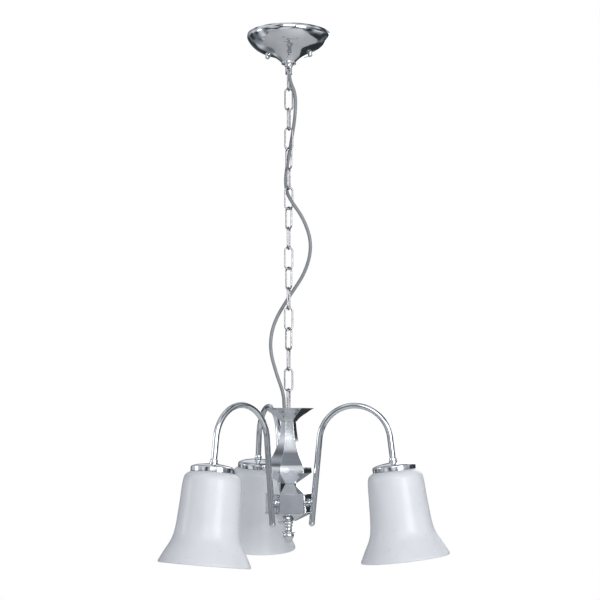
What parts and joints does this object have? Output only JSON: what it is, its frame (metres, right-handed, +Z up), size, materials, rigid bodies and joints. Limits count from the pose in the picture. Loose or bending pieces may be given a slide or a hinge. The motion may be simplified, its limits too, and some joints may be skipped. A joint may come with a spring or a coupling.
{
  "type": "multi arm chandelier",
  "caption": "Pendant chandelier: curved tube arms with opal bell shades on a hexagonal column, hung from a chain and a ceiling rose.",
  "frame": {"origin": "centre of the ceiling rose's rim, in the plane of the ceiling", "axes": "+Z up, +X along arm 1"},
  "size_m": [0.446, 0.492, 0.9124],
  "materials": {
    "chrome": "polished chrome plate",
    "chain_chrome": "bright plated wire",
    "zinc_steel": "zinc plated",
    "brass": "plain",
    "opal_glass": "satin opal white",
    "grey_pvc": "smooth PVC sheath",
    "white_plastic": "moulded"
  },
  "bodies": {
    "ceiling": {"ceiling_bracket": "zinc_steel", "rose_studs": "zinc_steel", "rose_cap_nuts": "chrome", "ceiling_rose": "chrome", "hanger_bush": "chrome", "bush_nut": "zinc_steel", "terminal_block": "white_plastic", "terminal_screws": "brass", "earth_screw": "brass"},
    "first_link": {"chain_link_01": "chain_chrome"},
    "pendant": {"arm_connectors": "chrome", "arm_end_balls": "chrome", "arm_nuts": "zinc_steel", "arm_tube_1": "chrome", "arm_tube_2": "chrome", "arm_tube_3": "chrome", "centre_rod": "zinc_steel", "chain_link_02": "chain_chrome", "chain_link_03": "chain_chrome", "chain_link_04": "chain_chrome", "chain_link_05": "chain_chrome", "chain_link_06": "chain_chrome", "chain_link_07": "chain_chrome", "chain_link_08": "chain_chrome", "chain_link_09": "chain_chrome", "chain_link_10": "chain_chrome", "chain_link_11": "chain_chrome", "chain_link_12": "chain_chrome", "chain_link_13": "chain_chrome", "chain_link_14": "chain_chrome", "chain_link_15": "chain_chrome", "chain_link_16": "chain_chrome", "chain_link_17": "chain_chrome", "finial": "chrome", "glass_shade_1": "opal_glass", "glass_shade_2": "opal_glass", "glass_shade_3": "opal_glass", "hub_bottom_cover": "chrome", "hub_drum": "chrome", "hub_top_cover": "chrome", "lamp_contacts": "brass", "lampholder_1": "white_plastic", "lampholder_2": "white_plastic", "lampholder_3": "white_plastic", "rod_nuts": "zinc_steel", "screw_shells": "brass", "shade_cap_1": "chrome", "shade_cap_2": "chrome", "shade_cap_3": "chrome", "shade_ring_1": "white_plastic", "shade_ring_2": "white_plastic", "shade_ring_3": "white_plastic", "supply_cable": "grey_pvc", "top_cup": "chrome", "top_eye": "chrome", "tube_collars": "chrome", "vase_body": "chrome"}
  },
  "joints": [
    {"name": "swing_across", "type": "hinge", "parent": "ceiling", "child": "first_link", "pos_m": [0, 0, -0.0628], "axis": [0.0785, 0.9969, 0], "range_deg": [-12, 12], "deforming": ["supply_cable"]},
    {"name": "swing_along", "type": "hinge", "parent": "first_link", "child": "pendant", "pos_m": [0, 0, -0.0967], "axis": [0.9026, 0.4305, 0], "range_deg": [-12, 12], "deforming": ["supply_cable"]}
  ]
}
